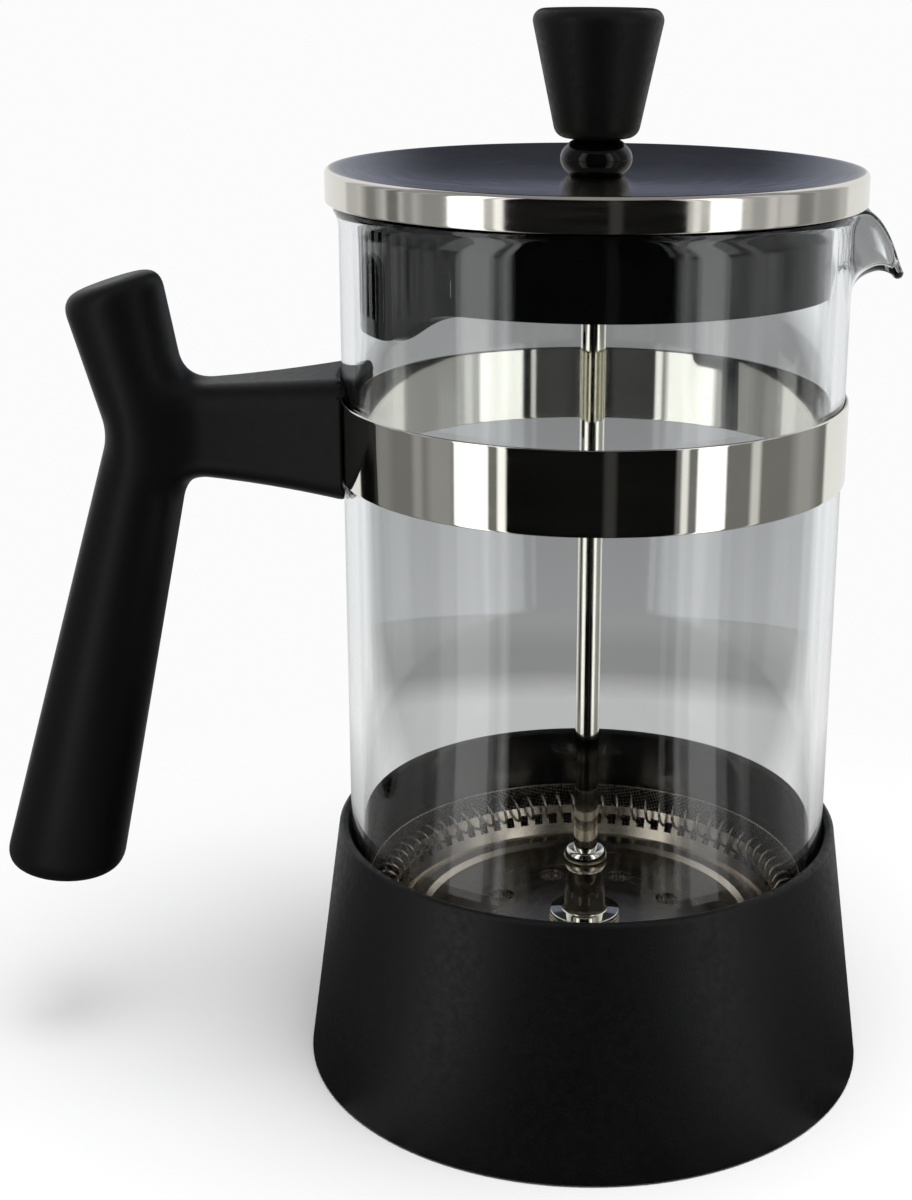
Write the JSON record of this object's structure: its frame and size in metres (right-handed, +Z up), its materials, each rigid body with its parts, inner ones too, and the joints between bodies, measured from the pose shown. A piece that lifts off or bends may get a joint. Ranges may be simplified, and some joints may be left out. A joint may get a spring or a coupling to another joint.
{
  "type": "french press",
  "caption": "Glass coffee press with a pulled spout, flared base, strap-held handle and a steel lid with a sliding, turning plunger and filter.",
  "frame": {"origin": "on the beaker's axis, at the surface that the foot ring stands on", "axes": "+Z up along the beaker and the rod, +X towards the spout, -X towards the handle"},
  "size_m": [0.1858, 0.119, 0.2184],
  "materials": {
    "satin_black": "satin with a fine grain",
    "matte_black": "matte with a fine grain",
    "gloss_black": "gloss",
    "foot_rubber": "matte",
    "clear_glass": "clear, polished",
    "polished_steel": "mirror polished",
    "lid_steel": "polished with a faint turned grain",
    "filter_steel": "bright rolled",
    "filter_mesh": "fine woven wire",
    "brass": "machined"
  },
  "bodies": {
    "holder": {"base_skirt": "satin_black", "foot_ring": "foot_rubber", "seat_ring": "foot_rubber", "beaker": "clear_glass", "band": "polished_steel", "handle_body": "satin_black", "clamp_screw": "polished_steel", "clamp_insert": "brass"},
    "lid_bush": {"guide_bush": "gloss_black", "bush_retainer": "gloss_black"},
    "lid": {"lid_cover": "lid_steel", "lid_insert": "gloss_black"},
    "knob_collar": {"knob_collar": "gloss_black"},
    "plunger": {"knob": "matte_black", "knob_insert": "brass", "rod": "polished_steel", "filter_hub": "polished_steel", "spiral_plate": "filter_steel", "coil_spring": "filter_steel", "mesh_filter": "filter_mesh", "cross_plate": "filter_steel", "filter_nut": "filter_steel"}
  },
  "joints": [
    {"name": "lid_lift", "type": "slide", "parent": "holder", "child": "lid_bush", "axis": [0, 0, 1], "range_m": [0, 0.17]},
    {"name": "lid_turn", "type": "hinge", "parent": "lid_bush", "child": "lid", "pos_m": [0, 0, 0.185], "axis": [0, 0, 1], "continuous": true},
    {"name": "plunger_stroke", "type": "slide", "parent": "lid_bush", "child": "knob_collar", "axis": [0, 0, 1], "range_m": [0, 0.112]},
    {"name": "plunger_spin", "type": "hinge", "parent": "knob_collar", "child": "plunger", "pos_m": [0, 0, 0.2], "axis": [0, 0, 1], "continuous": true}
  ]
}
